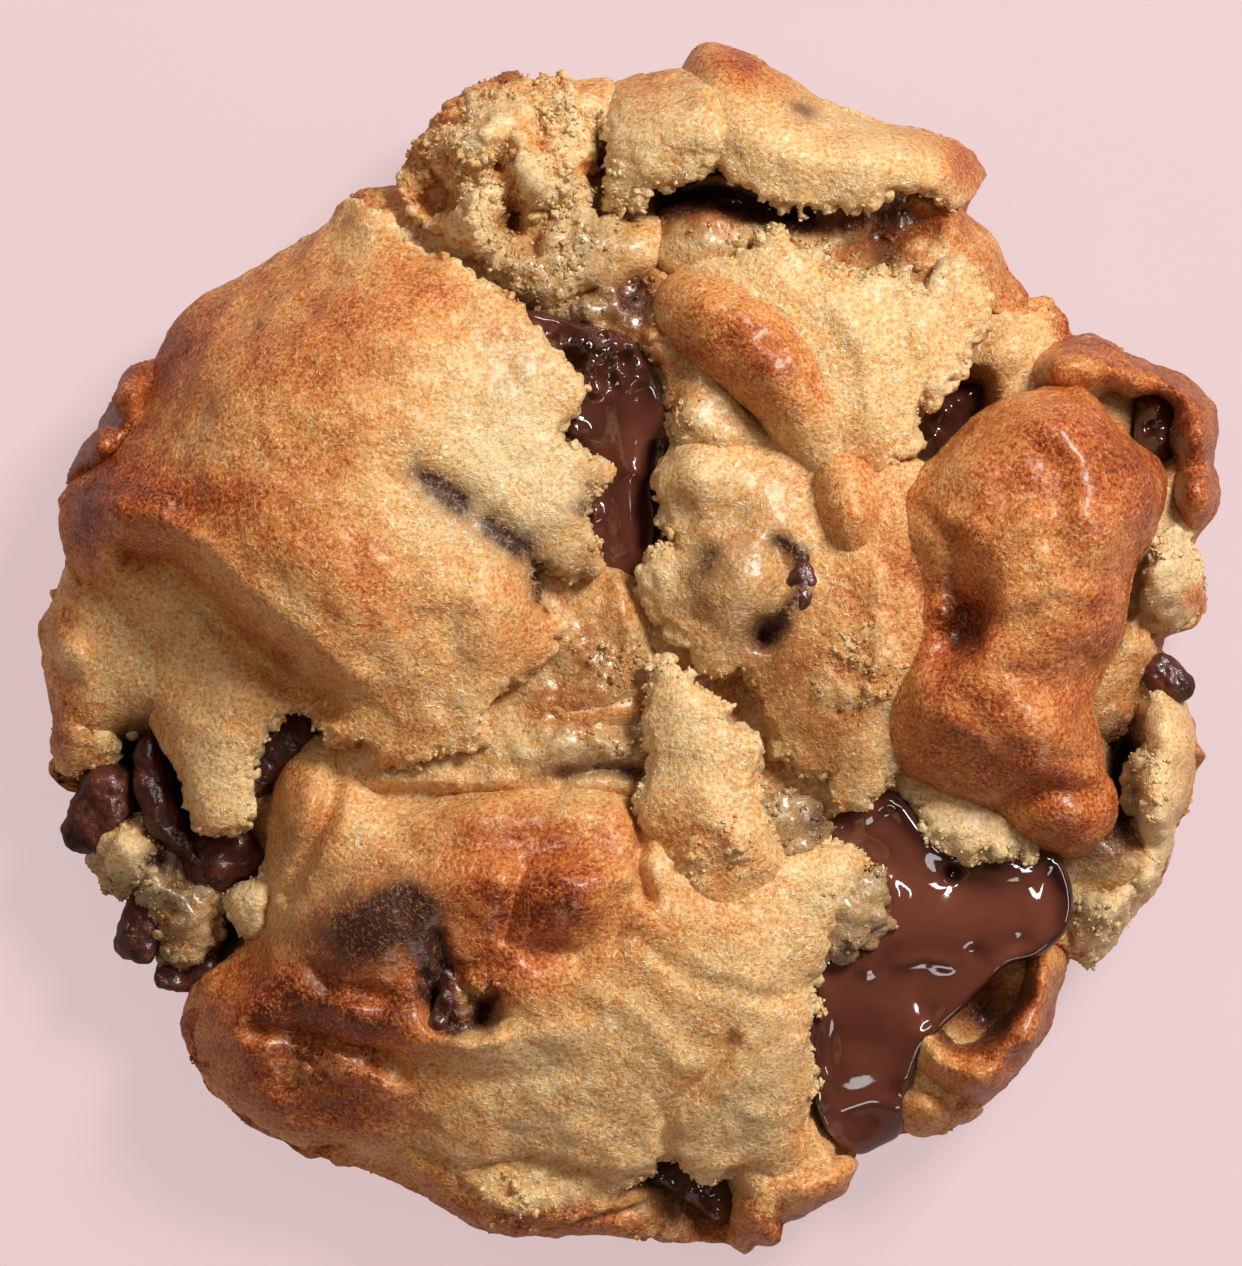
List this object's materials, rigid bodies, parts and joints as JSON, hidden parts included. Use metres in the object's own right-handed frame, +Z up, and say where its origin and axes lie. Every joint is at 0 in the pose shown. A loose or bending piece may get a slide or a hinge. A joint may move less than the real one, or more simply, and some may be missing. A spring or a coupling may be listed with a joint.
{
  "type": "chocolate chip cookie",
  "caption": "Thick bakery-style cookie: a mound of baked dough with raised torn crust slabs, melted chocolate pools in its hollows and chocolate chunks in its gaps.",
  "frame": {"origin": "middle of the bounding box seen from above, on the flat base that the cookie rests on", "axes": "+Z up out of the baked top; +Y along the slightly longer width, towards the top of the picture; +X to the right of the picture"},
  "size_m": [0.1168, 0.12, 0.0349],
  "materials": {
    "dough": "baked cookie crust, tan to orange brown, grainy, with torn pale crumb",
    "chocolate": "melted and solid chocolate, dark brown, glossy"
  },
  "bodies": {
    "root": {"dough": "dough", "chocolate_pool_large": "chocolate", "chocolate_pool_middle": "chocolate", "chocolate_top_crack": "chocolate", "chocolate_bottom_crack": "chocolate", "chocolate_right_crevice": "chocolate", "chocolate_rim_hollow": "chocolate", "chunk_left_rim": "chocolate", "chunk_lower_left": "chocolate", "chocolate_bar_end": "chocolate", "chip_curled": "chocolate", "chunk_gap": "chocolate", "chip_under_slab": "chocolate", "chip_right_rim": "chocolate", "chip_lower_slab": "chocolate", "chip_buried": "chocolate"}
  },
  "joints": []
}
